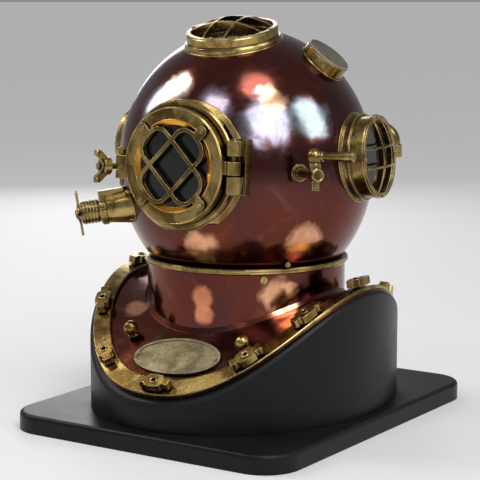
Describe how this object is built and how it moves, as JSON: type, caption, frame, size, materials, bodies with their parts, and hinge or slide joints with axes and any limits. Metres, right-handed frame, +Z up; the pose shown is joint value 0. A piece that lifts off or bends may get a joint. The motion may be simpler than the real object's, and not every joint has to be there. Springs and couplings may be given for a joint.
{
  "type": "diving helmet",
  "caption": "Heavy-gear diving helmet of copper and brass with a hinged front window, on a black stand.",
  "frame": {"origin": "middle of the stand board's underside", "axes": "+Z up, -Y the way the diver looks, +X the diver's left"},
  "size_m": [0.4156, 0.482, 0.5059],
  "materials": {
    "copper": "dark polished copper with a purple patina",
    "brass": "aged polished brass",
    "plate": "tarnished plate",
    "stand": "black satin lacquer",
    "glass": "thick clear glass",
    "gasket": "oiled leather",
    "seal": "orange rubber",
    "spring": "drawn wire"
  },
  "bodies": {
    "stand": {"stand_board": "stand", "stand_pedestal": "stand"},
    "corselet": {"breastplate": "copper", "strap_front": "brass", "strap_back": "brass", "strap_left": "brass", "strap_right": "brass", "rim_studs": "brass", "rim_wing_nuts": "brass", "oval_plate": "plate", "plate_rivets": "plate", "ball_studs": "brass", "index_screw": "brass", "neck_socket": "brass", "neck_gasket": "gasket", "latch_keeper": "brass"},
    "bonnet_body": {"bonnet": "copper", "bonnet_ring": "brass", "index_pin": "brass", "front_seat": "brass", "front_gasket": "gasket", "hinge_pin": "brass", "bolt_pin": "brass", "left_port_frame": "brass", "left_port_glass": "glass", "left_port_guard": "brass", "right_port_frame": "brass", "right_port_glass": "glass", "right_port_guard": "brass", "top_port_frame": "brass", "top_port_glass": "glass", "top_port_guard": "brass", "port_seals": "seal", "port_retainers": "brass", "port_screws": "brass", "speaking_drum": "brass", "drum_cover": "plate", "speaking_set": "brass", "air_gooseneck": "brass", "cable_gooseneck": "brass", "exhaust_body": "brass", "exhaust_cap": "brass", "exhaust_spring": "spring", "spit_cock_body": "brass", "air_duct": "copper", "latch_bracket": "brass", "latch_pin": "brass"},
    "front_door": {"door_ring": "brass", "door_glass": "glass", "door_seal": "seal", "door_retainer": "brass", "door_grille": "brass", "door_screws": "brass"},
    "bolt": {"swing_bolt": "brass"},
    "bolt_nut": {"swing_bolt_nut": "brass"},
    "valve_wheel": {"exhaust_wheel": "brass"},
    "valve_stem": {"exhaust_stem": "brass"},
    "cock_lever": {"spit_cock_plug": "brass"},
    "latch": {"safety_latch": "brass"}
  },
  "joints": [
    {"name": "helmet_lift", "type": "slide", "parent": "stand", "child": "corselet", "axis": [0, 0, 1], "range_m": [0, 0.25]},
    {"name": "bonnet_turn", "type": "hinge", "parent": "corselet", "child": "bonnet_body", "pos_m": [0, 0, 0.199], "axis": [0, 0, 1], "range_deg": [0, 45]},
    {"name": "door_hinge", "type": "hinge", "parent": "bonnet_body", "child": "front_door", "pos_m": [0.0804, -0.14977, 0.33127], "axis": [0, 0.0558, 0.9984], "range_deg": [0, 120]},
    {"name": "swing_bolt_pivot", "type": "hinge", "parent": "bonnet_body", "child": "bolt", "pos_m": [-0.09, -0.13962, 0.3247], "axis": [0, -0.0558, -0.9984], "range_deg": [-30, 60]},
    {"name": "swing_bolt_nut_turn", "type": "hinge", "parent": "bolt", "child": "bolt_nut", "pos_m": [-0.1, -0.15691, 0.32566], "axis": [-0.5, -0.8647, 0.0483], "continuous": true},
    {"name": "exhaust_wheel_turn", "type": "hinge", "parent": "bonnet_body", "child": "valve_wheel", "pos_m": [-0.14392, -0.1534, 0.26382], "axis": [-0.8283, -0.5379, -0.1564], "range_deg": [0, 720]},
    {"name": "exhaust_valve_slide", "type": "slide", "parent": "bonnet_body", "child": "valve_stem", "axis": [-0.8283, -0.5379, -0.1564], "range_m": [0, 0.006], "stiffness_N_per_m": 300, "deforming": ["exhaust_spring"]},
    {"name": "spit_cock_turn", "type": "hinge", "parent": "bonnet_body", "child": "cock_lever", "pos_m": [0.16782, -0.11185, 0.33939], "axis": [0.0434, -0.0293, -0.9986], "range_deg": [0, 90]},
    {"name": "safety_latch_swing", "type": "hinge", "parent": "bonnet_body", "child": "latch", "pos_m": [0, 0.13303, 0.2102], "axis": [1, 0, 0], "range_deg": [-80, 10]}
  ]
}
